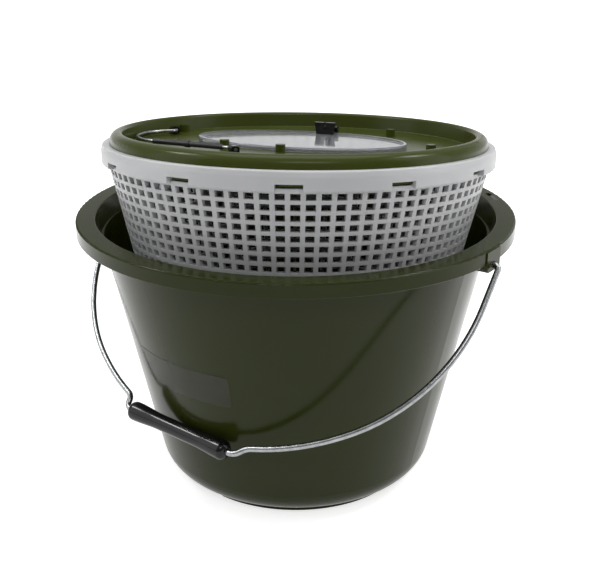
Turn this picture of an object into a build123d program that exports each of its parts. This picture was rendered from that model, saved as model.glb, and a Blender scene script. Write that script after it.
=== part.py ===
from build123d import *
import math
import os

# Bait bucket: a moulded bucket with a wire bail, and a perforated basket that stands in it.
# The basket has a clip-on lid with a clear hatch and a small folding handle.
# Millimetres. Origin at the middle of the underside, +Z up, X along the bail's axis,
# and the bail hangs towards -Y.

# Bucket
bucket_height = 235.4
rim_radius = 185.0
rim_thickness = 2.4
rim_edge_round = 1.4
rim_width = 15.9
mouth_taper = 5.6
mouth_depth = 14.5
skirt_depth = 11.8
skirt_thickness = 2.4
rim_overhang = 19.9
wall_draft = 0.224
wall_thickness = 2.2
floor_thickness = 2.8
base_corner_radius = 27.3
foot_inset = 15.8
foot_width = 4.0
foot_height = 3.8
foot_gap_angle = 7.0
foot_gap_azimuth = -7.7
foot_gap_count = 4
hang_slot_length = 23.0
hang_slot_width = 4.6
hang_slot_inset = 7.5
hang_slot_azimuth = 47.3

# Ears and bail
ear_width = 22.0
ear_depth = 12.5
ear_drop = 6.0
ear_proud = 0.8
ear_chamfer = 2.5
bail_wire_diameter = 5.0
bail_bore_clearance = 0.3
bail_pivot_drop = 13.0
bail_leg_gap = 2.7
bail_elbow_radius = 5.0
bail_leg_length = 37.2
bail_shoulder_radius = 151.3
bail_reach = 201.6
bail_head_diameter = 8.6
bail_head_length = 2.0
seat_offset = 20.5
seat_turn = 3.8
seat_kink_right = 20.0
seat_kink_left = 12.0
grip_length = 106.0
grip_end_diameter = 16.2
grip_end_round = 5.0
grip_waist_diameter = 13.2
grip_flare_length = 34.0
grip_bore_clearance = 0.06
grip_end_gap = 1.5
grip_wall_gap = 0.3

# Blank film label on the front of the bucket
label_angle = 39.0
label_azimuth = -95.2
label_bottom = 112.0
label_top = 140.0
label_thickness = 0.25
label_gap = 0.1

# Basket and how it stands in the bucket
basket_height = 281.0
basket_azimuth = 35.3
lean_angle = 5.9
lean_azimuth = 118.3
standing_gap = 0.3
sideways_shift = 2.8
band_mouth_gap = 7.0
band_bulge = 1.0
band_bulge_depth = 5.0
band_foot_flare = 0.7
band_height = 14.7
net_inset = 4.5
net_draft = 0.25
net_wall = 2.2
net_corner_radius = 32.0
basket_floor_thickness = 2.4
window_columns = 44
window_rows = 6
window_row_pitch = 38.0
window_first_row = 35.5
window_height = 33.0
window_share = 0.58
floor_slot_count = 11
floor_slot_length = 26.0
floor_slot_width = 5.0
floor_slot_radius = 38.0
band_slot_count = 12
band_slot_azimuth = -92.7
band_slot_length = 20.0
band_slot_height = 2.8
band_slot_depth = 10.8
band_notch_step = 0.3

# Lid of the basket, in the basket's own frame with the top of the band at zero
lid_edge_inset = 5.7
lid_shoulder_inset = 1.0
lid_shoulder_height = 8.9
lid_shoulder_round = 7.0
lid_crest_width = 9.4
lid_crest_height = 10.4
lid_crest_round = 2.8
lid_well_taper = 1.9
lid_floor_height = -3.5
lid_wall = 2.3
lid_skirt_gap = 0.3
lid_skirt_wall = 1.8
lid_skirt_depth = 13.4
hook_length = 17.5
hook_height = 2.0
hook_reach = 3.4
hook_turn = 0.34
peg_diameter = 8.0
peg_height = 6.2
peg_slit_width = 1.2
peg_slit_depth = 4.0
peg_places = [(-104.1, 93.9), (-61.6, -10.6), (-15.1, -37.1), (82.9, 76.9), (106.9, -28.6)]

# Clear hatch in the lid and its hinge
hatch_middle = (1.4, 21.9)
hatch_turn = -22.0
hatch_half_width = 93.0
hatch_half_depth = 56.0
hatch_thickness = 1.8
hatch_rim_height = 3.4
hatch_rim_width = 2.4
hatch_lap = 4.0
hatch_seat_gap = 0.3
hinge_offset = 3.0
hinge_width = 19.0
hinge_knuckle_width = 9.0
hinge_knuckle_diameter = 5.0
hinge_side_gap = 0.4
hinge_axis_height = 6.4
hinge_rim_gap = 0.5
hinge_pin_diameter = 2.0
hinge_pin_clearance = 0.04
bracket_length = 8.5
bracket_base = 2.0
leaf_arm_thickness = 2.4
leaf_foot_width = 15.6
leaf_plate_top = 12.6
leaf_plate_thickness = 3.0
leaf_plate_split = 1.6
leaf_rim_gap = 0.4

# Folding handle on the lid, its places counted from the left edge of the lid's well
handle_wire_diameter = 2.8
handle_near_foot = (92.5, -52.6)
handle_far_foot = (32.5, 75.4)
handle_shoulders = [(10.5, 59.4), (5.0, 21.4), (13.5, -2.6)]
handle_shoulder_rounds = [30.0, 40.0, 30.0]
handle_far_pin_length = 11.0
handle_near_pin_length = 8.0
handle_far_round = 5.4
handle_near_round = 12.0
handle_pin_end = 0.5
handle_foot_length = 7.0
handle_foot_width = 7.0
handle_foot_cover = 1.3
handle_foot_chamfer = 1.6
handle_bore_clearance = 0.08
handle_height = 4.1
sleeve_diameter = 4.4
sleeve_length = 68.0
sleeve_start = 12.0
sleeve_clearance = 0.05
sleeve_collar_diameter = 5.6
sleeve_collar_length = 4.0


def turned(*corners, angle=360):
    """A ring or shell about Z from closed corners, each a radius, a height and a rounding."""
    outline = FilletPolyline(
        *[(radius, 0, height) for radius, height, rounding in corners],
        radius=[rounding for radius, height, rounding in corners],
        close=True,
    )
    return revolve(make_face(outline), Axis.Z, angle)


def rod(path, diameter):
    """A round rod along a path of straight runs and tangent arcs."""
    start = Plane(origin=path @ 0, z_dir=path % 0)
    return sweep(start * Circle(diameter / 2), path=path)


def pin_along(plane, length, diameter):
    """A round pin centred on a plane's origin, along the plane's normal."""
    return plane * Cylinder(diameter / 2, length)


def around(count, first, radius, height=0.0):
    """Places on a circle about Z, each turned to face outwards."""
    step = 360 / count
    return [Rot(0, 0, first + step * i) * Pos(radius, 0, height) for i in range(count)]


def save(shape, name):
    """Write one node under its own name."""
    export_step(shape, f"parts/{name}.step")


os.makedirs("parts", exist_ok=True)


# Bucket shell: one moulding with a turned-down rim, two ears and a gapped foot ring
skirt_height = bucket_height - skirt_depth
mouth_floor = bucket_height - mouth_depth
rim_underside = bucket_height - rim_thickness
floor_height = foot_height + floor_thickness
wall_stretch = math.hypot(1, wall_draft)
wall_radius = rim_radius - rim_overhang
mouth_radius = rim_radius - rim_width
mouth_ledge_radius = mouth_radius - mouth_taper


def wall_outside(height):
    """Radius of the bucket's outer wall at a height."""
    return wall_radius - wall_draft * (skirt_height - height)


def wall_inside(height):
    """Radius of the bucket's inner wall at a height."""
    return wall_outside(height) - wall_thickness


shell = turned(
    (0, foot_height, 0),
    (wall_outside(foot_height), foot_height, base_corner_radius),
    (wall_outside(mouth_floor), mouth_floor, 0),
    (mouth_radius + wall_thickness, rim_underside, 1),
    (rim_radius - skirt_thickness, rim_underside, 1),
    (rim_radius - skirt_thickness, skirt_height, 0),
    (rim_radius, skirt_height, 0.5),
    (rim_radius, bucket_height, rim_edge_round),
    (mouth_radius, bucket_height, 1),
    (mouth_ledge_radius, mouth_floor, 0),
    (wall_inside(mouth_floor), mouth_floor, 0),
    (wall_inside(floor_height), floor_height, base_corner_radius - wall_thickness),
    (0, floor_height, 0),
)
foot_top = foot_height + floor_thickness / 2
foot_radius = wall_outside(foot_height) - foot_inset
foot = turned(
    (foot_radius - foot_width, 0, 0.8),
    (foot_radius, 0, 0.8),
    (foot_radius, foot_top, 0),
    (foot_radius - foot_width, foot_top, 0),
)
foot_gap = 2 * foot_radius * math.sin(math.radians(foot_gap_angle / 2))
foot_cutter = Box(3 * foot_width, foot_gap, 2 * foot_height)
foot_middle = foot_radius - foot_width / 2
foot -= [place * foot_cutter for place in around(foot_gap_count, foot_gap_azimuth, foot_middle)]

pivot_height = bucket_height - bail_pivot_drop
ear_bottom = skirt_height - ear_drop
ear_top = rim_underside + rim_thickness / 2
ear_outside = rim_radius + ear_proud
ear_inside = ear_outside - ear_depth
ear = Pos(ear_outside - ear_depth / 2, 0, (ear_bottom + ear_top) / 2) * Box(
    ear_depth, ear_width, ear_top - ear_bottom
)
ear = chamfer(ear.edges().group_by(Axis.Z)[0].filter_by(Axis.X), ear_chamfer)
ear_bore = pin_along(
    Plane(origin=(ear_outside - ear_depth / 2, 0, pivot_height), z_dir=(1, 0, 0)),
    ear_depth + 2,
    bail_wire_diameter + 2 * bail_bore_clearance,
)
hang_slot = extrude(SlotOverall(hang_slot_length, hang_slot_width), rim_thickness + 1, both=True)
hang_slot = (
    Rot(0, 0, hang_slot_azimuth)
    * Pos(rim_radius - hang_slot_inset, 0, bucket_height)
    * Rot(0, 0, 90)
    * hang_slot
)
bucket = shell + foot + [ear, ear.mirror(Plane.YZ)]
bucket -= [ear_bore, ear_bore.mirror(Plane.YZ), hang_slot]
save(bucket, "bucket_shell")


# Blank film label: a thin strip on the cone of the wall
label_foot = wall_outside(label_bottom) + label_gap
label_head = wall_outside(label_top) + label_gap
label = turned(
    (label_foot, label_bottom, 0),
    (label_foot + label_thickness, label_bottom, 0),
    (label_head + label_thickness, label_top, 0),
    (label_head, label_top, 0),
    angle=label_angle,
)
save(Rot(0, 0, label_azimuth - label_angle / 2) * label, "label_film")


# Bail: one steel wire, headed at both ends, with a kinked seat for the grip.
# Its plane has x along the pivot axis and y away from it, towards the grip.
half_span = ear_outside + bail_leg_gap + bail_wire_diameter / 2
rise = bail_reach - bail_leg_length
shoulder_x = half_span - bail_shoulder_radius
bottom_radius = (shoulder_x**2 + rise**2 - bail_shoulder_radius**2) / (
    2 * (rise - bail_shoulder_radius)
)
bottom_centre = Vector(0, bail_reach - bottom_radius)
shoulder_centre = Vector(shoulder_x, bail_leg_length)
seat_swing = -math.asin(seat_offset / bottom_radius)
seat_east = Vector(1, 0).rotate(Axis.Z, seat_turn)
seat_half = grip_length / 2 + grip_end_gap
grip_half = grip_length / 2
end_radius = grip_end_diameter / 2
waist_radius = grip_waist_diameter / 2
waist_half = grip_half - grip_flare_length
flare_end = grip_half - grip_end_round
hanging = Plane(origin=(0, 0, 0), x_dir=(1, 0, 0), z_dir=(0, 1, 0))


def bottom_point(swing):
    """A point of the bail's bottom arc, by its angle about the arc's centre."""
    return bottom_centre + Vector(math.sin(swing), math.cos(swing)) * bottom_radius


seat_middle = bottom_point(seat_swing)


def grip_radius(along):
    """Radius of the grip at a distance from its middle, up to its rounded end."""
    share = min(max((abs(along) - waist_half) / (flare_end - waist_half), 0), 1)
    return waist_radius + (end_radius - waist_radius) * share**2 * (3 - 2 * share)


def grip_room(angle):
    """Smallest gap between the grip and the wall with the bail at an angle from straight down."""
    down, out = math.cos(math.radians(angle)), math.sin(math.radians(angle))
    gaps = []
    for step in range(-12, 13):
        along = flare_end * step / 12
        place = seat_middle + seat_east * along
        from_axis = math.hypot(place.X, place.Y * out)
        wall = wall_outside(pivot_height - place.Y * down)
        gaps.append((from_axis - wall) / wall_stretch - grip_radius(along))
    return min(gaps)


def hang_angle():
    """Angle from straight down, in degrees, at which the grip leans on the wall."""
    low, high = 20.0, 80.0
    while high - low > 0.001:
        middle = (low + high) / 2
        low, high = (middle, high) if grip_room(middle) < grip_wall_gap else (low, middle)
    return high


def s_bend(start, start_way, end, end_way):
    """Two tangent arcs from one point and direction to another."""
    span = end - start
    across = span.dot(start_way + end_way)
    turn = 2 * (1 - start_way.dot(end_way))
    reach = (math.sqrt(across**2 + turn * span.dot(span)) - across) / turn
    meeting = (start + end + (start_way - end_way) * reach) * 0.5
    first = TangentArc(start, meeting, tangent=start_way)
    return first, TangentArc(meeting, end, tangent=first % 1)


def bail_side(side):
    """The runs of one side of the bail, from its head to the end of the grip seat."""
    meeting = shoulder_centre + (shoulder_centre - bottom_centre).normalized() * bail_shoulder_radius
    meeting = Vector(side * meeting.X, meeting.Y)
    kink_length = seat_kink_right if side > 0 else seat_kink_left
    bend_point = bottom_point(seat_swing + side * (seat_half + kink_length) / bottom_radius)
    head_end = Vector(side * (ear_inside - bail_bore_clearance - bail_head_length), 0)
    elbow_start = Vector(side * (half_span - bail_elbow_radius), 0)
    elbow_end = Vector(side * half_span, bail_elbow_radius)
    leg_end = Vector(side * half_span, bail_leg_length)
    pin = Line(head_end, elbow_start)
    elbow = TangentArc(elbow_start, elbow_end, tangent=(side, 0))
    leg = Line(elbow_end, leg_end)
    shoulder = TangentArc(leg_end, meeting, tangent=(0, 1))
    bottom = TangentArc(meeting, bend_point, tangent=shoulder % 1)
    seat_end = seat_middle + seat_east * side * seat_half
    kink = s_bend(bend_point, bottom % 1, seat_end, seat_east * -side)
    return [pin, elbow, leg, shoulder, bottom, *kink]


seat_run = Line(seat_middle - seat_east * seat_half, seat_middle + seat_east * seat_half)
wire_path = hanging * Wire([*bail_side(1), seat_run, *bail_side(-1)])
head_middle = ear_inside - bail_bore_clearance - bail_head_length / 2
heads = [
    pin_along(
        Plane(origin=(side * head_middle, 0, 0), z_dir=(1, 0, 0)), bail_head_length, bail_head_diameter
    )
    for side in (-1, 1)
]
bail_place = Pos(0, 0, pivot_height) * Rot(-hang_angle(), 0, 0)
save(bail_place * (rod(wire_path, bail_wire_diameter) + heads), "bail_wire")


# Grip: a flared tube that turns freely on the bail's straight seat
grip_bore = bail_wire_diameter / 2 + grip_bore_clearance


def grip_end(side):
    """The outline of one end of the grip, from the waist's edge to the bore."""
    flare_top = Vector(side * flare_end, end_radius)
    face_top = Vector(side * grip_half, end_radius - grip_end_round)
    waist_edge = Vector(side * waist_half, waist_radius)
    flare = Spline(waist_edge, flare_top, tangents=[(side, 0), (side, 0)])
    corner = TangentArc(flare_top, face_top, tangent=(side, 0))
    return [flare, corner, Line(face_top, Vector(side * grip_half, grip_bore))]


grip_outline = Wire(
    [
        *grip_end(1),
        *grip_end(-1),
        Line((-waist_half, waist_radius), (waist_half, waist_radius)),
        Line((-grip_half, grip_bore), (grip_half, grip_bore)),
    ]
)
grip = revolve(make_face(grip_outline), Axis.X)
seat_place = hanging * Pos(seat_middle.X, seat_middle.Y, 0) * Rot(0, 0, seat_turn)
save(bail_place * (seat_place * grip), "bail_grip")


# Basket body: a band on a drafted net with a rounded bottom. It stands askew: the rear of
# its bottom is on the bucket's floor and its front corner leans on the front wall.
band_radius = mouth_radius - band_mouth_gap
band_foot_radius = band_radius + band_foot_flare
net_radius = band_radius - net_inset


def net_outside(depth):
    """Radius of the net's outer wall at a depth below the top of the band."""
    return net_radius - net_draft * (depth - band_height)


corner_depth = basket_height - net_corner_radius
corner_reach = net_outside(corner_depth) - net_corner_radius * math.hypot(1, net_draft)
lean_sine, lean_cosine = math.sin(math.radians(lean_angle)), math.cos(math.radians(lean_angle))
standing_height = (
    floor_height
    + standing_gap
    + net_corner_radius
    + corner_reach * lean_sine
    + corner_depth * lean_cosine
)
front_corner_height = standing_height + corner_reach * lean_sine - corner_depth * lean_cosine
front_corner_radius = (
    wall_inside(front_corner_height) - (net_corner_radius + standing_gap) * wall_stretch
)
corner_room = front_corner_radius - corner_reach * lean_cosine
standing_offset = corner_depth * lean_sine - math.sqrt(corner_room**2 - sideways_shift**2)
lean_way = Vector(1, 0, 0).rotate(Axis.Z, lean_azimuth)
sideways = Vector(1, 0, 0).rotate(Axis.Z, lean_azimuth - 90)
basket_up = lean_way * lean_sine + Vector(0, 0, lean_cosine)
basket_right = Vector(1, 0, 0).rotate(Axis.Z, basket_azimuth)
basket_place = Plane(
    origin=lean_way * standing_offset
    + sideways * sideways_shift
    + Vector(0, 0, standing_height),
    x_dir=basket_right - basket_up * basket_right.dot(basket_up),
    z_dir=basket_up,
)

band_inside = net_radius - net_wall
basket_floor_top = basket_floor_thickness - basket_height
inner_reach = net_outside(-basket_floor_top) - net_wall
basket = turned(
    (band_radius, 0, 0.8),
    (band_radius + band_bulge, -band_bulge_depth, 4),
    (band_foot_radius, -band_height, 1),
    (net_radius, -band_height, 0.6),
    (net_outside(basket_height), -basket_height, net_corner_radius),
    (0, -basket_height, 0),
    (0, basket_floor_top, 0),
    (inner_reach, basket_floor_top, net_corner_radius - net_wall),
    (band_inside, -band_height, 0),
    (band_inside, 0, 0.5),
)
openings = []
for row in range(window_rows):
    depth = window_first_row + window_row_pitch * row
    width = window_share * 2 * math.pi * net_outside(depth) / window_columns
    window = Box(window_height, width, window_height)
    openings += [place * window for place in around(window_columns, 0, net_outside(depth), -depth)]
floor_slot = Box(floor_slot_length, floor_slot_width, 3 * basket_floor_thickness)
openings += [
    place * floor_slot for place in around(floor_slot_count, 0, floor_slot_radius, -basket_height)
]
band_slot = Box(3 * net_wall, band_slot_length, band_slot_height)
openings += [
    place * band_slot
    for place in around(band_slot_count, band_slot_azimuth, net_radius, -band_slot_depth)
]
# Below each slot the band is cut back almost to the net, down to its foot
notch_top = band_slot_depth - band_slot_height / 2
notch = Box(
    2 * net_inset,
    band_slot_length,
    band_height,
    align=(Align.MIN, Align.CENTER, Align.MAX),
)
openings += [
    place * notch
    for place in around(
        band_slot_count, band_slot_azimuth, net_radius + band_notch_step, -notch_top
    )
]
save(basket_place * (basket - openings), "basket_net")


# Lid: a turned rim round a sunk floor, with a skirt of hooks that snap into the band's slots
lid_edge_radius = band_radius - lid_edge_inset
lid_shoulder_radius = lid_edge_radius - lid_shoulder_inset
lid_crest_radius = lid_shoulder_radius - lid_crest_width
lid_well_radius = lid_crest_radius - lid_well_taper
skirt_outside = band_inside - lid_skirt_gap
skirt_inside = skirt_outside - lid_skirt_wall
lid_underside = lid_floor_height - lid_wall
lid = turned(
    (lid_edge_radius, 0, 0.4),
    (lid_shoulder_radius, lid_shoulder_height, lid_shoulder_round),
    (lid_crest_radius, lid_crest_height, lid_crest_round),
    (lid_well_radius, lid_floor_height, 1),
    (0, lid_floor_height, 0),
    (0, lid_underside, 0),
    (lid_well_radius + lid_wall, lid_underside, 2),
    (lid_crest_radius + lid_wall, lid_crest_height - lid_wall, 1),
    (skirt_inside, lid_shoulder_height - lid_wall, 3),
    (skirt_inside, -lid_skirt_depth, 0),
    (skirt_outside, -lid_skirt_depth, 0.4),
    (skirt_outside, 0, 0),
)
hook = Box(hook_reach + lid_skirt_wall, hook_length, hook_height)
hook_middle = skirt_outside + (hook_reach - lid_skirt_wall) / 2
lid += [
    place * hook
    for place in around(
        band_slot_count, band_slot_azimuth + hook_turn, hook_middle, -band_slot_depth
    )
]
peg = Pos(0, 0, peg_height / 2) * Cylinder(peg_diameter / 2, peg_height)
peg -= Pos(0, 0, peg_height) * Box(2 * peg_diameter, peg_slit_width, 2 * peg_slit_depth)
lid += [Pos(x, y, lid_floor_height) * peg for x, y in peg_places]
hatch_frame = Pos(*hatch_middle, 0) * Rot(0, 0, hatch_turn)
opening = extrude(
    Ellipse(hatch_half_width - hatch_lap, hatch_half_depth - hatch_lap),
    lid_crest_height,
    both=True,
)
lid -= hatch_frame * (Pos(0, 0, lid_floor_height) * opening)
save(basket_place * lid, "basket_lid")


# Hatch: a clear oval plate with a raised rim, lying over the opening in the lid's floor
hatch_bottom = lid_floor_height + hatch_seat_gap
hatch = extrude(Ellipse(hatch_half_width, hatch_half_depth), hatch_rim_height)
hatch = fillet(hatch.edges().group_by(Axis.Z)[-1], 0.8)
well = Ellipse(hatch_half_width - hatch_rim_width, hatch_half_depth - hatch_rim_width)
hatch -= Pos(0, 0, hatch_thickness) * extrude(well, hatch_rim_height)
hatch_place = basket_place * hatch_frame
save(hatch_place * (Pos(0, 0, hatch_bottom) * hatch), "hatch_window")


# Hinge of the hatch: a bracket on the lid's floor, a leaf on the plate and a pressed pin
knuckle_radius = hinge_knuckle_diameter / 2
hinge_y = hatch_half_depth + hinge_rim_gap + knuckle_radius
hinge_z = lid_floor_height + hinge_axis_height
hinge_line = Plane(origin=(hinge_offset, hinge_y, hinge_z), z_dir=(1, 0, 0))
lug_width = (hinge_width - hinge_knuckle_width) / 2 - hinge_side_gap
lug = Box(lug_width, 2 * knuckle_radius, hinge_axis_height, align=(Align.CENTER, Align.CENTER, Align.MAX))
lug += pin_along(Plane.YZ, lug_width, hinge_knuckle_diameter)
bracket = Pos(hinge_offset, hinge_y - knuckle_radius, lid_floor_height) * Box(
    hinge_width, bracket_length, bracket_base, align=(Align.CENTER, Align.MIN, Align.MIN)
)
for side in (-1, 1):
    bracket += Pos(hinge_offset + side * (hinge_width - lug_width) / 2, hinge_y, hinge_z) * lug
bracket -= pin_along(hinge_line, 2 * hinge_width, hinge_pin_diameter)
save(hatch_place * bracket, "hatch_hinge_bracket")

leaf_bottom = hatch_bottom + hatch_thickness
leaf_back = hatch_half_depth - hatch_rim_width - leaf_rim_gap
leaf_top = lid_floor_height + leaf_plate_top
plates = Polygon(
    (hinge_offset - leaf_foot_width / 2, leaf_bottom),
    (hinge_offset + leaf_foot_width / 2, leaf_bottom),
    (hinge_offset + hinge_width / 2, leaf_top),
    (hinge_offset - hinge_width / 2, leaf_top),
    align=None,
)
leaf = extrude(Plane.XZ.offset(-leaf_back) * plates, leaf_plate_thickness)
arm_bottom = hatch_bottom + hatch_rim_height + leaf_rim_gap
arm = Box(
    hinge_knuckle_width,
    hinge_y - leaf_back + leaf_plate_thickness / 2,
    leaf_arm_thickness,
    align=(Align.CENTER, Align.MAX, Align.MIN),
)
leaf += Pos(hinge_offset, hinge_y, arm_bottom) * arm
leaf -= Pos(hinge_offset, leaf_back, arm_bottom + leaf_arm_thickness) * Box(
    leaf_plate_split,
    3 * leaf_plate_thickness,
    leaf_plate_top,
    align=(Align.CENTER, Align.CENTER, Align.MIN),
)
leaf += pin_along(hinge_line, hinge_knuckle_width, hinge_knuckle_diameter)
leaf -= pin_along(hinge_line, hinge_width, hinge_pin_diameter + 2 * hinge_pin_clearance)
save(hatch_place * leaf, "hatch_hinge_leaf")
save(hatch_place * pin_along(hinge_line, hinge_width, hinge_pin_diameter), "hatch_hinge_pin")


# Folding handle: a wire with a sleeve, its ends turning in two eye blocks on the lid's floor
handle_z = lid_floor_height + handle_height
well_left = Vector(-lid_well_radius, 0, handle_z)
near_foot = well_left + Vector(*handle_near_foot)
far_foot = well_left + Vector(*handle_far_foot)
handle_way = (far_foot - near_foot).normalized()
pin_end = handle_foot_length / 2 + handle_pin_end
handle_corners = [
    far_foot + handle_way * pin_end,
    far_foot - handle_way * handle_far_pin_length,
    *[well_left + Vector(*place) for place in handle_shoulders],
    near_foot + handle_way * handle_near_pin_length,
    near_foot - handle_way * pin_end,
]
handle_path = FilletPolyline(
    *handle_corners, radius=[handle_far_round, *handle_shoulder_rounds, handle_near_round]
)
save(basket_place * rod(handle_path, handle_wire_diameter), "lid_handle_wire")

sleeve_from, sleeve_to = handle_corners[4], handle_corners[5]
sleeve_way = (sleeve_to - sleeve_from).normalized()
sleeve_line = Plane(
    origin=sleeve_from + sleeve_way * (sleeve_start + sleeve_length / 2), z_dir=sleeve_way
)
sleeve = pin_along(sleeve_line, sleeve_length, sleeve_diameter)
sleeve += pin_along(sleeve_line, sleeve_collar_length, sleeve_collar_diameter)
sleeve -= pin_along(sleeve_line, 2 * sleeve_length, handle_wire_diameter + 2 * sleeve_clearance)
save(basket_place * sleeve, "lid_handle_sleeve")

foot_top_z = handle_z + handle_wire_diameter / 2 + handle_foot_cover
foot_block = Box(
    handle_foot_length,
    handle_foot_width,
    foot_top_z - lid_floor_height,
    align=(Align.CENTER, Align.CENTER, Align.MIN),
)
foot_block = chamfer(foot_block.edges().group_by(Axis.Z)[-1].filter_by(Axis.X), handle_foot_chamfer)
handle_turn = math.degrees(math.atan2(handle_way.Y, handle_way.X))
feet = []
for place in (near_foot, far_foot):
    block = Pos(place.X, place.Y, lid_floor_height) * Rot(0, 0, handle_turn) * foot_block
    bore = pin_along(
        Plane(origin=place, z_dir=handle_way),
        2 * handle_foot_length,
        handle_wire_diameter + 2 * handle_bore_clearance,
    )
    feet.append(block - bore)
save(basket_place * Compound(children=feet), "lid_handle_feet")
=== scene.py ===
import math

import bpy
import numpy as np
from mathutils import Euler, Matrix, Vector


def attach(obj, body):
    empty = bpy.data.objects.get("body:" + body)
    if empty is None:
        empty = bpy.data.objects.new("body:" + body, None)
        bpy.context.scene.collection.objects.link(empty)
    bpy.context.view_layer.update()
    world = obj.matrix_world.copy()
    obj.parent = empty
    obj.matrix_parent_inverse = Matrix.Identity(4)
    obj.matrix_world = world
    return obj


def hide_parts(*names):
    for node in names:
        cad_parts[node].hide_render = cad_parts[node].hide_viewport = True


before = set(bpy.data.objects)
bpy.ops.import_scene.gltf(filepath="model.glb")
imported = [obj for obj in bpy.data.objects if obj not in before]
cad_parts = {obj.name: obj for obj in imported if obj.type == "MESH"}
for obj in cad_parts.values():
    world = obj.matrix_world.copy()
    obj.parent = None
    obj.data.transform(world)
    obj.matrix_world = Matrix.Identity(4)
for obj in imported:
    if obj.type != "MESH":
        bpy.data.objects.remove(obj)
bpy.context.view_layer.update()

# Bucket
# One moulding of dark olive polypropylene, semi-gloss, with a turned-down rim, two ears for
# the bail and a foot ring. Its finish carries faint clouding and the soft ripple of the mould.
bucket_olive = (0.024, 0.031, 0.0040)
bucket_olive_worn = (0.030, 0.038, 0.0065)
bucket_roughness = 0.17
olive_gloss = 0.17
worn_share = 0.5
smoothest, roughest = 0.88, 1.15
grain_share = 0.03
ripple_height = 0.0003
ripple_strength = 0.5


class Flow:
    """A shader value that can be used in an expression: each operator adds one Math node."""

    def __init__(self, finish, socket):
        """Keep the socket that gives the value, and the finish that it belongs to."""
        self.finish = finish
        self.socket = socket

    def joined(self, operation, other):
        """One Math node that puts this value and the other together."""
        return self.finish.add("ShaderNodeMath", {"operation": operation}, {0: self, 1: other})

    def __add__(self, other):
        """The sum of this value and the other."""
        return self.joined("ADD", other)

    def __mul__(self, other):
        """The product of this value and the other."""
        return self.joined("MULTIPLY", other)

    def clipped(self):
        """This value, but no more than 1."""
        return self.joined("MINIMUM", 1.0)


class Finish:
    """A material built from one Principled shader and the patterns that feed it."""

    def __init__(self, name):
        """Make the material; its patterns are laid out by place, in metres."""
        self.material = bpy.data.materials.new(name)
        self.material.use_nodes = True
        self.tree = self.material.node_tree
        self.shader = self.tree.nodes["Principled BSDF"]
        self.place = self.add("ShaderNodeTexCoord", output="Object")

    def add(self, kind, settings=(), inputs=(), output=0):
        """Add one node, set its settings and then its inputs, and return one output."""
        node = self.tree.nodes.new(kind)
        for key, value in dict(settings).items():
            setattr(node, key, value)
        for key, value in dict(inputs).items():
            self.feed(node.inputs[key], value)
        return Flow(self, node.outputs[output])

    def feed(self, socket, value):
        """Link a value to an input, or set the input to a number or a colour."""
        if isinstance(value, Flow):
            self.tree.links.new(value.socket, socket)
        elif isinstance(value, tuple) and len(value) == 3 and socket.type == "RGBA":
            socket.default_value = (*value, 1)
        else:
            socket.default_value = value

    def noise(self, scale, detail):
        """Cloudy noise between about 0.3 and 0.7, with its scale in waves per metre."""
        inputs = {"Vector": self.place, "Scale": scale, "Detail": detail}
        return self.add("ShaderNodeTexNoise", inputs=inputs, output="Fac")

    def spread(self, value, low=0.0, high=1.0, bottom=0.0, top=1.0):
        """Stretch the range from low to high onto bottom to top, held at both ends."""
        inputs = {"Value": value, "From Min": low, "From Max": high, "To Min": bottom, "To Max": top}
        return self.add("ShaderNodeMapRange", {"clamp": True}, inputs)

    def blend(self, share, first, second):
        """Mix two colours: inputs 0, 6 and 7 are the share and the colours, output 2 the mix."""
        return self.add("ShaderNodeMix", {"data_type": "RGBA"}, {0: share, 6: first, 7: second}, 2)

    def bump(self, height, distance, strength):
        """A bumped normal from a height between 0 and 1 and its depth in metres."""
        inputs = {"Height": height, "Distance": distance, "Strength": strength}
        return self.add("ShaderNodeBump", inputs=inputs)

    def set(self, **inputs):
        """Set the shader's inputs by name, with underscores for spaces."""
        for key, value in inputs.items():
            self.feed(self.shader.inputs[key.replace("_", " ")], value)


def moulded(name, colour, worn, roughness):
    """Moulded olive plastic: clouded colour, uneven gloss, and a ripple with a finer grain."""
    finish = Finish(name)
    clouds = finish.spread(finish.noise(scale=9.0, detail=4.0), low=0.35, high=0.7)
    grain = finish.noise(scale=900.0, detail=2.0)
    ripple = finish.noise(scale=14.0, detail=1.0)
    uneven = finish.noise(scale=35.0, detail=3.0)
    least, most = roughness * smoothest, roughness * roughest
    finish.set(
        Base_Color=finish.blend(clouds * worn_share, colour, worn),
        Roughness=finish.spread(uneven, low=0.3, high=0.7, bottom=least, top=most),
        Specular_IOR_Level=olive_gloss,
        Normal=finish.bump(ripple + grain * grain_share, ripple_height, ripple_strength),
    )
    return finish.material


def finished(node, material):
    """Give a frame node its material in place of the one that it came with."""
    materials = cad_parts[node].data.materials
    materials.clear()
    materials.append(material)


bucket_plastic = moulded("bucket_plastic", bucket_olive, bucket_olive_worn, bucket_roughness)
finished("bucket_shell", bucket_plastic)

# Label
# A blank strip of clear glossy film stuck to the wall. It is seen by its sheen and by the
# slightly paler olive under it.
film_tint = (0.060, 0.062, 0.045)
film_tint_pale = (0.075, 0.077, 0.060)
film_cover = 0.22
film = Finish("label_film")
film_clouds = film.spread(film.noise(scale=60.0, detail=3.0), low=0.35, high=0.65)
film.set(
    Base_Color=film.blend(film_clouds, film_tint, film_tint_pale),
    Roughness=film.spread(film_clouds, bottom=0.10, top=0.16),
    Alpha=film_cover,
    Normal=film.bump(film.noise(scale=25.0, detail=2.0), distance=0.0004, strength=0.4),
)
finished("label_film", film.material)

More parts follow.
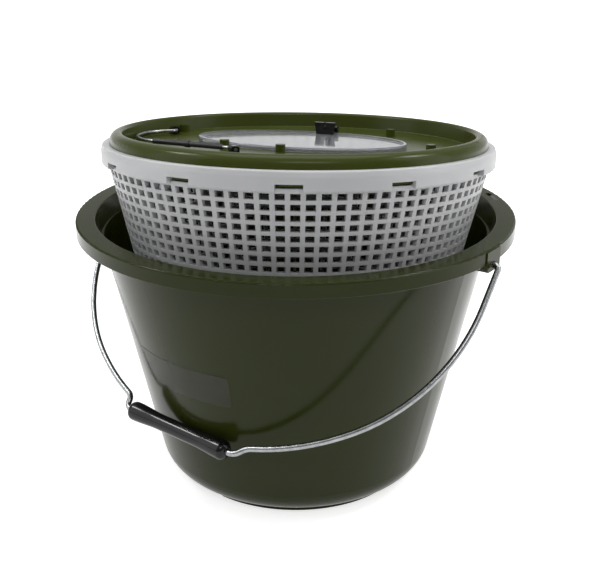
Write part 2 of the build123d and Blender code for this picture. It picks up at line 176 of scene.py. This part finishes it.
# Bail
# Drawn steel wire, bright galvanised, with fine spangle and marks. It is bent to its bow, and
# its ends are headed behind the ears.
zinc_dull = (0.30, 0.31, 0.32)
zinc_bright = (0.46, 0.47, 0.48)
zinc = Finish("galvanised_wire")
zinc_spangle = zinc.spread(zinc.noise(scale=220.0, detail=4.0), low=0.3, high=0.7)
zinc_marks = zinc.spread(zinc.noise(scale=1500.0, detail=2.0), low=0.35, high=0.65)
zinc.set(
    Base_Color=zinc.blend(zinc_spangle, zinc_dull, zinc_bright),
    Metallic=1.0,
    Roughness=zinc.spread(zinc_marks, bottom=0.20, top=0.30),
    Normal=zinc.bump(zinc_marks, distance=0.00003, strength=0.5),
)
finished("bail_wire", zinc.material)

# Grip
# A flared tube of glossy black plastic, moulded with its bore. It sits loosely on the bail's
# seat and turns there.
black_deep = (0.004, 0.004, 0.0045)
black_pale = (0.008, 0.008, 0.009)
black_gloss = 0.35
black = Finish("black_plastic")
black_clouds = black.spread(black.noise(scale=40.0, detail=3.0), low=0.3, high=0.7)
black.set(
    Base_Color=black.blend(black_clouds, black_deep, black_pale),
    Roughness=black.spread(black_clouds, bottom=0.10, top=0.16),
    Specular_IOR_Level=black_gloss,
    Normal=black.bump(black.noise(scale=60.0, detail=2.0), distance=0.0002, strength=0.4),
)
finished("bail_grip", black.material)

# Basket
# White polyethylene, moulded in one piece: a plain band with twelve notched slots for the
# lid's hooks, over a thick net of small windows and a rounded bottom with slots in its floor.
# It stands askew in the bucket.
full_turn = 2 * math.pi
basket_turn = math.radians(35.3)
basket_lean = math.radians(5.9)
basket_lean_way = math.radians(118.3)
basket_top = Vector((0.002479, 0.001301, 0.293369))

# Depths are measured down from the top of the band
basket_depth = 0.281
band_depth = 0.0147
band_radius = 0.1621
band_thickness = 0.0022
band_foot_step = 0.0001
net_top_radius = 0.1576
net_draft = 0.25
net_thickness = 0.0042
net_first_turn = math.radians(-91.1)
net_columns = 88
column_turn = full_turn / net_columns
hole_share = 0.66
hole_height = 0.0050
first_row = 0.0193
row_pitch = 0.00803
row_count = 29
slot_first_turn = math.radians(-92.7)
slot_count = 12
slot_length = 0.020
slot_radius = 0.161
slot_top = 0.0094
slot_bottom = 0.0130
slot_edge_turn = 0.0002
notch_lip = 0.00002
notch_step = 0.0004
corner_round = 0.032
corner_points = 13
basket_floor_thickness = 0.0024
floor_land = 0.004
floor_slot_end = 0.051
floor_slot_start = 0.025
floor_hub = 0.004
floor_slot_count = 11
sharp_angle = math.radians(35)


def placed(name, data):
    """A new object that holds the data, put into the scene."""
    thing = bpy.data.objects.new(name, data)
    bpy.context.scene.collection.objects.link(thing)
    return thing


def piece_from(name, points, faces, material):
    """A mesh object from an array of points and lists of corner numbers, with its sharp edges kept."""
    mesh = bpy.data.meshes.new(name)
    mesh.from_pydata(points.tolist(), [], faces)
    mesh.polygons.foreach_set("use_smooth", np.ones(len(mesh.polygons), bool))
    mesh.set_sharp_from_angle(angle=sharp_angle)
    mesh.materials.append(material)
    mesh.validate()
    return placed(name, mesh)


def near(angles, centres, reach):
    """Which angles lie less than the reach from one of the centres, the short way round."""
    offset = (angles[:, None] - centres[None] + math.pi) % full_turn - math.pi
    return (np.abs(offset) < reach).any(axis=1)


def net_outside(depth):
    """Radius of the net's outer face at a depth: it shrinks from the band down by the draft."""
    return net_top_radius - net_draft * (depth - band_depth)


def ring_grid(radius, depth):
    """Points at each radius and depth for every turn: radius by cosine and sine, depth downwards."""
    down = np.broadcast_to(-depth, radius.shape)
    return np.stack([radius * np.cos(turns), radius * np.sin(turns), down], axis=-1)


def leaned(points):
    """Carry points from the basket's own frame to the part's: turned, leaned, then lifted.

    The basket's axis leans from upright by its lean, towards the way of the lean. Its right
    side is the turned side less what lies along that axis, and its back is square to both.
    """
    tilt = math.sin(basket_lean)
    up = np.array(
        [
            tilt * math.cos(basket_lean_way),
            tilt * math.sin(basket_lean_way),
            math.cos(basket_lean),
        ]
    )
    right = np.array([math.cos(basket_turn), math.sin(basket_turn), 0.0])
    right -= up * right.dot(up)
    right /= np.linalg.norm(right)
    back = np.cross(up, right)
    return points @ np.array([right, back, up]) + np.array(basket_top)


def pierced_shell(open_cells):
    """Faces of a turned wall between an outer and an inner grid of points, by row and by turn.

    The inner grid's points follow the outer grid's. Each solid cell gives a face outside and
    one inside. A wall joins the grids wherever a solid cell meets an open one, and along the
    first row. The turns close up, and one face on each side closes the last row.
    """
    rows, turn_count = open_cells.shape[0] + 1, open_cells.shape[1]
    outer = np.arange(rows * turn_count).reshape(rows, turn_count)
    outer_after = np.roll(outer, -1, axis=1)
    inner, inner_after = outer + outer.size, outer_after + outer.size
    top, low = outer[:-1], outer[1:]
    top_after, low_after = outer_after[:-1], outer_after[1:]
    inner_top, inner_low = inner[:-1], inner[1:]
    inner_top_after, inner_low_after = inner_after[:-1], inner_after[1:]
    solid = ~open_cells
    above = np.vstack([np.zeros((1, turn_count), bool), solid[:-1]])
    below = np.vstack([solid[1:], np.ones((1, turn_count), bool)])
    before = np.roll(solid, 1, axis=1)
    following = np.roll(solid, -1, axis=1)
    sides = [
        (solid, top, low, low_after, top_after),
        (solid, inner_top, inner_top_after, inner_low_after, inner_low),
        (solid & ~above, top, top_after, inner_top_after, inner_top),
        (solid & ~below, low, inner_low, inner_low_after, low_after),
        (solid & ~before, top, inner_top, inner_low, low),
        (solid & ~following, top_after, low_after, inner_low_after, inner_top_after),
    ]
    faces = []
    for where, *cell_corners in sides:
        faces += np.stack([corner[where] for corner in cell_corners], axis=1).tolist()
    faces += [outer[-1].tolist(), inner[-1][::-1].tolist()]
    return faces


# The grid's turns: both edges of every window, and both edges of every slot twice, a hair apart
columns = net_first_turn + column_turn * np.arange(net_columns)
half_window = column_turn * hole_share / 2
slots = slot_first_turn + full_turn / slot_count * np.arange(slot_count)
half_slot = slot_length / 2 / slot_radius
edges = [columns - half_window, columns + half_window]
for side in (-half_slot, half_slot):
    edges += [slots + side - slot_edge_turn, slots + side + slot_edge_turn]
turns = np.sort(np.concatenate(edges) % full_turn)
middles = (turns + (np.roll(turns, -1) - turns) % full_turn / 2) % full_turn

# The grid's rows: the band's outline, both edges of every row of windows, the corner, the floor.
# The band's steps give how far a point stands out from the band's radius, and its depth.
slot_start = (0.0008, slot_top)
band_steps = [
    (-0.0008, 0),
    (-0.0003, 0.0001),
    (-0.0001, 0.0003),
    (0, 0.0008),
    (0.0006, 0.0032),
    (0.0010, 0.0050),
    (0.00095, 0.0068),
    (0.0008, slot_top - notch_lip),
    slot_start,
    (0.00075, slot_bottom),
    (0.0007, 0.0139),
    (0.0004, 0.0145),
    (-0.0003, band_depth),
]
band_lines = [(band_radius + step, depth) for step, depth in band_steps]
band_lines.append((net_top_radius, band_depth + band_foot_step))
row_edges = [
    first_row + row_pitch * row + side * hole_height / 2
    for row in range(row_count)
    for side in (-1, 1)
]
outer_line = band_lines + [(net_outside(depth), depth) for depth in row_edges]
inner_line = [(net_top_radius - band_thickness, depth) for _, depth in band_lines]
inner_line += [(net_outside(depth) - net_thickness, depth) for depth in row_edges]
corner_depth = basket_depth - corner_round
corner_reach = net_outside(corner_depth) - corner_round * math.hypot(1, net_draft)
for angle in np.linspace(math.atan(net_draft), math.pi / 2, corner_points):
    for line, size in ((outer_line, corner_round), (inner_line, corner_round - net_thickness)):
        line.append((corner_reach + size * math.cos(angle), corner_depth + size * math.sin(angle)))
for radius in (floor_slot_end + floor_land, floor_slot_end, floor_slot_start, floor_hub):
    outer_line.append((radius, basket_depth))
    inner_line.append((radius, basket_depth - basket_floor_thickness))
outer_line, inner_line = np.array(outer_line), np.array(inner_line)

# The outer wall is cut back below each slot, almost to the net
outer_radius = np.repeat(outer_line[:, :1], len(turns), axis=1)
inner_radius = np.repeat(inner_line[:, :1], len(turns), axis=1)
notched = (outer_line[:, 1] >= slot_top) & (outer_line[:, 1] < band_depth + band_foot_step / 2)
notch = np.ix_(notched, near(turns, slots, half_slot))
outer_radius[notch] = np.minimum(outer_radius[notch], net_top_radius + notch_step)
outer_grid = ring_grid(outer_radius, outer_line[:, 1:])
inner_grid = ring_grid(inner_radius, inner_line[:, 1:])

# Cells that are open: the band's slots, the net's windows, and the slots between two floor rings
floor_slot_row = -2
nearest_column = np.floor((middles - net_first_turn) / column_turn + 0.5).astype(int)
open_cells = np.zeros((len(outer_line) - 1, len(turns)), bool)
open_cells[band_steps.index(slot_start)] = near(middles, slots, half_slot)
open_cells[len(band_lines) + 2 * np.arange(row_count)] = near(middles, columns, half_window)
open_cells[floor_slot_row] = nearest_column % (net_columns // floor_slot_count) == 0
basket_points = leaned(np.concatenate([outer_grid.reshape(-1, 3), inner_grid.reshape(-1, 3)]))
basket_faces = pierced_shell(open_cells)

# The plastic lets a little light through. Its inner face is painted darker, a painted shade that
# stands in for the shade inside the net
basket_white = (0.56, 0.565, 0.575)
basket_white_pale = (0.62, 0.625, 0.635)
basket_painted_shade = (0.18, 0.185, 0.175)
glow_depth = 0.004
white = Finish("basket_plastic")
white_clouds = white.spread(white.noise(scale=14.0, detail=4.0), low=0.3, high=0.7)
white_face = white.blend(white_clouds, basket_white, basket_white_pale)
depth_in_wall = white.add("ShaderNodeAttribute", {"attribute_name": "depth_in_wall"}, output="Fac")
# Painted shade: a mask that darkens the wall towards its inner face, by depth into the wall
painted_inner_shade = white.spread(depth_in_wall, low=0.9, high=1.0)
white_gloss = white.noise(scale=50.0, detail=3.0)
white.set(
    # The base colour blends from the outer white to a painted shade on the inner face
    Base_Color=white.blend(painted_inner_shade, white_face, basket_painted_shade),
    Subsurface_Weight=0.5,
    Subsurface_Radius=(1.0, 1.0, 1.0),
    Subsurface_Scale=glow_depth,
    Roughness=white.spread(white_gloss, low=0.3, high=0.7, bottom=0.32, top=0.42),
    Normal=white.bump(white.noise(scale=22.0, detail=2.0), distance=0.0004, strength=0.5),
)
basket = piece_from("basket_body", basket_points, basket_faces, white.material)
inward = basket.data.attributes.new("depth_in_wall", "FLOAT", "POINT")
inward.data.foreach_set("value", np.repeat([0.0, 1.0], len(basket_points) // 2))
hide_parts("basket_net")
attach(basket, "basket")

# Lid
# Olive plastic of the bucket's kind, a little greener, moulded in one piece with its pegs and
# hooks. The hooks snap into the band's slots.
lid_olive = (0.045, 0.058, 0.0075)
lid_olive_worn = (0.056, 0.068, 0.014)
lid_roughness = 0.22
lid_plastic = moulded("lid_plastic", lid_olive, lid_olive_worn, lid_roughness)
finished("basket_lid", lid_plastic)

# Hatch
# A clear polystyrene plate with a raised rim, moulded and polished, with faint scuffs. It lies
# in the lid's sunk floor and swings up on its hinge.
clear_tint = (0.62, 0.63, 0.66)
scuff_tint = (0.54, 0.55, 0.58)
clear = Finish("clear_plastic")
scuffs = clear.spread(clear.noise(scale=700.0, detail=3.0), low=0.45, high=0.75)
clear.set(
    Base_Color=clear.blend(scuffs, clear_tint, scuff_tint),
    Roughness=clear.spread(scuffs, bottom=0.05, top=0.12),
    Transmission_Weight=0.80,
    IOR=1.49,
    Specular_IOR_Level=0.25,
)
finished("hatch_window", clear.material)

# Hinge of the hatch
# A bracket of black plastic on the lid and a leaf of the same on the hatch. A pin of bright
# steel through both joins them.
finished("hatch_hinge_bracket", black.material)
finished("hatch_hinge_leaf", black.material)
finished("hatch_hinge_pin", zinc.material)

# Folding handle
# Galvanised wire in a sleeve of soft black tube with a middle collar. Its ends turn in two
# eye blocks of black plastic on the lid.
tube_deep = (0.012, 0.012, 0.013)
tube_pale = (0.024, 0.024, 0.026)
tube = Finish("black_tube")
tube_clouds = tube.spread(tube.noise(scale=80.0, detail=3.0), low=0.3, high=0.7)
tube.set(
    Base_Color=tube.blend(tube_clouds, tube_deep, tube_pale),
    Roughness=tube.spread(tube_clouds, bottom=0.35, top=0.5),
    Normal=tube.bump(tube.noise(scale=120.0, detail=2.0), distance=0.0002, strength=0.4),
)
finished("lid_handle_wire", zinc.material)
finished("lid_handle_sleeve", tube.material)
finished("lid_handle_feet", black.material)

# Floor
# A wide matt floor, pale and a little uneven. It glows more the farther it lies from the
# object, as a lit white sheet does, and less towards the camera where the wall mirrors it.
floor_reach = 4.0
floor_dull = (0.80, 0.80, 0.80)
floor_pale = (0.83, 0.83, 0.83)
white_light = (1.0, 1.0, 1.0)

# Directions across the photograph and away into it
camera_turn = math.radians(35.3)
across = Vector((math.cos(camera_turn), math.sin(camera_turn), 0))
away = Vector((-math.sin(camera_turn), math.cos(camera_turn), 0))


def ray(finish, kind):
    """1 for light rays of one kind, such as those that the camera sees, and otherwise 0."""
    return finish.add("ShaderNodeLightPath", output=kind)


def along(finish, way):
    """How far a place lies along a direction: the dot product of the two."""
    inputs = {0: finish.place, 1: way}
    return finish.add("ShaderNodeVectorMath", {"operation": "DOT_PRODUCT"}, inputs, "Value")


sheet = Finish("studio_floor")
sheet_tone = sheet.blend(sheet.noise(scale=3.0, detail=2.0), floor_dull, floor_pale)
sheet.set(Base_Color=sheet_tone, Roughness=0.9, Specular_IOR_Level=0.1)
corners = np.array([(x, y, 0.0) for x, y in ((-1, -1), (1, -1), (1, 1), (-1, 1))]) * floor_reach
floor = piece_from("studio_floor", corners, [[0, 1, 2, 3]], sheet.material)
distance = sheet.add("ShaderNodeVectorMath", {"operation": "LENGTH"}, {0: sheet.place}, "Value")
paleness = sheet.spread(distance, low=0.25, high=1.6, bottom=0.70, top=1.0)
seen = ray(sheet, "Is Camera Ray") + ray(sheet, "Is Transmission Ray")
in_mirror = sheet.spread(along(sheet, away), low=-0.6, high=0.3, bottom=0.45, top=1.0)
seen = seen + ray(sheet, "Is Glossy Ray") * in_mirror
glow_inputs = {"Color": white_light, "Strength": seen.clipped() * paleness}
glow = sheet.add("ShaderNodeEmission", inputs=glow_inputs)
matt = Flow(sheet, sheet.shader.outputs[0])
lit_sheet = sheet.add("ShaderNodeAddShader", inputs={0: matt, 1: glow})
sheet.feed(sheet.tree.nodes["Material Output"].inputs["Surface"], lit_sheet)

# Camera
# It stands nine tenths of a metre in front of the object and looks down on it by about 20
# degrees through a long lens.
camera_back = 0.905513
camera_aside = 0.000949
camera_height = 0.503059
camera_pitch = math.radians(20.559)
camera_yaw = math.radians(0.289)
camera_lens = 66.185
camera = placed("photo_camera", bpy.data.cameras.new("photo_camera"))
camera.data.sensor_width = 36.0
camera.data.sensor_fit = "HORIZONTAL"
camera.data.lens = camera_lens
camera.data.clip_start = 0.05
camera.location = -across * camera_aside - away * camera_back + Vector((0, 0, camera_height))
camera.rotation_euler = Euler((math.pi / 2 - camera_pitch, 0, camera_turn - camera_yaw))
bpy.context.scene.camera = camera

# Lights
# A tall soft panel at each side with a small lamp above and behind it, a wide panel above the
# object, and a weak one high in front. Each is aimed at the upper half of the object.
aim = Vector((0, 0, 0.2))

# Each light's place across, away and up, then its width and height, then its watts
lights = {
    "left_panel": ((-1.5, -0.35, 0.9), (0.9, 1.6), 5),
    "right_panel": ((1.5, -0.25, 0.9), (0.9, 1.6), 6),
    "left_lamp": ((-1.3, 0.15, 1.6), (0.35, 0.35), 6),
    "right_lamp": ((1.3, 0.15, 1.6), (0.35, 0.35), 6),
    "top_panel": ((0.0, 0.35, 1.9), (1.6, 1.2), 12),
    "front_panel": ((0.2, -2.0, 1.9), (1.2, 0.6), 9),
}
for name, ((side, back, height), (width, tall), watts) in lights.items():
    light = bpy.data.lights.new(name, "AREA")
    light.shape = "RECTANGLE"
    light.size = width
    light.size_y = tall
    light.energy = watts
    lamp = placed(name, light)
    lamp.location = across * side + away * back + Vector((0, 0, height))
    lamp.rotation_euler = (aim - lamp.location).to_track_quat("-Z", "Y").to_euler()


# Air
# The light that fills the room: dim from below and brighter from above, plain white where the
# camera looks past the object, and darker in front than behind where the wall mirrors it.
class Air(Finish):
    """The world's light, with the same ways of adding nodes; its place is the way a ray goes."""

    def __init__(self, name):
        """Make the world; its patterns are laid out by direction."""
        self.world = bpy.data.worlds.new(name)
        self.world.use_nodes = True
        self.tree = self.world.node_tree
        self.shader = self.tree.nodes["Background"]
        self.place = self.add("ShaderNodeTexCoord", output="Generated")


through_hatch = 0.75
air = Air("studio_air")
bpy.context.scene.world = air.world
rise = air.add("ShaderNodeSeparateXYZ", inputs={0: air.place}, output="Z")
ambient = air.spread(rise, low=-0.2, high=0.9, bottom=0.05, top=0.42)
behind = air.spread(along(air, away), low=-0.3, high=0.3, bottom=0.10, top=0.65)
mirrored = behind * ray(air, "Is Glossy Ray")
mirrored = mirrored * air.spread(rise, low=0.05, high=0.30, bottom=1.0, top=0.20)
shown = ray(air, "Is Camera Ray") + ray(air, "Is Transmission Ray") * through_hatch
air.set(Color=white_light, Strength=(mirrored + shown + ambient).clipped())

bpy.context.scene.view_settings.view_transform = "Standard"
